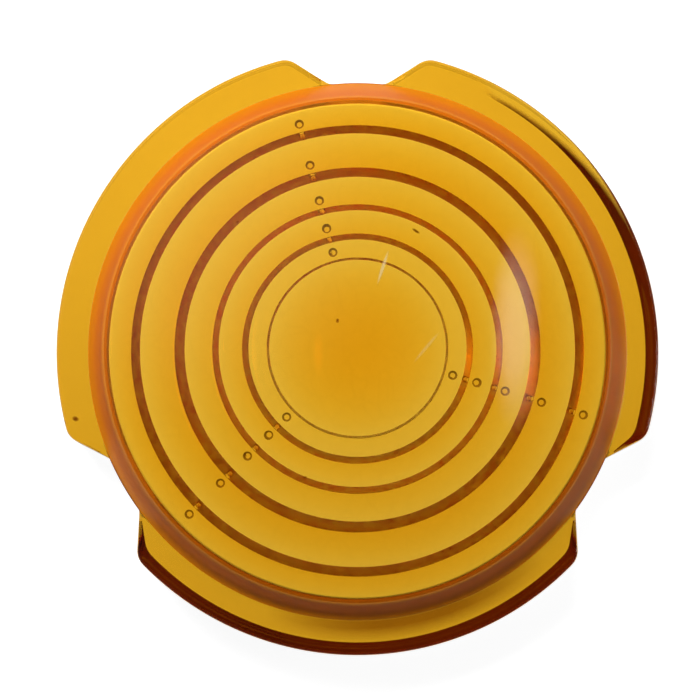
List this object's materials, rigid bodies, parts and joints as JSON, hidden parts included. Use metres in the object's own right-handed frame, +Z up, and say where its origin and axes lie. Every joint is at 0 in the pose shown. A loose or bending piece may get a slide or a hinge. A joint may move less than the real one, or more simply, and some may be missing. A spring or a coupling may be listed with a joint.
{
  "type": "raised pavement marker",
  "caption": "Low round road marker: a stepped amber dome lens with a lobed flange over a white reflector, on a holder that twists off a base plate bonded or bolted down.",
  "frame": {"origin": "centre of the marker's underside, on the pavement", "axes": "+Z up out of the pavement, +Y towards one notch of the lens flange, +X to the right with +Y ahead"},
  "size_m": [0.102, 0.1004, 0.0227],
  "materials": {
    "amber_lens": "smooth moulded amber lens",
    "clear_silicone": "translucent white silicone",
    "white_plastic": "satin moulded white plastic",
    "reflector_white": "smooth white plastic",
    "sheet_white": "white retroreflective sheeting",
    "stainless_steel": "turned stainless steel",
    "base_plastic": "glass-filled light grey plastic",
    "black_rubber": "smooth black rubber",
    "butyl": "tacky black butyl"
  },
  "bodies": {
    "base": {"base_plate": "base_plastic", "bayonet_pins": "stainless_steel", "base_seal": "black_rubber", "adhesive_pad": "butyl"},
    "lens_unit": {"lens": "amber_lens", "lens_seal": "clear_silicone", "lens_holder": "white_plastic", "reflector_plate": "reflector_white", "reflective_sheet": "sheet_white", "reflector_screws": "stainless_steel"}
  },
  "joints": [
    {"name": "lens_twist", "type": "hinge", "parent": "base", "child": "lens_unit", "pos_m": [0, 0, 0], "axis": [0, 0, 1], "range_deg": [0, 35]}
  ]
}
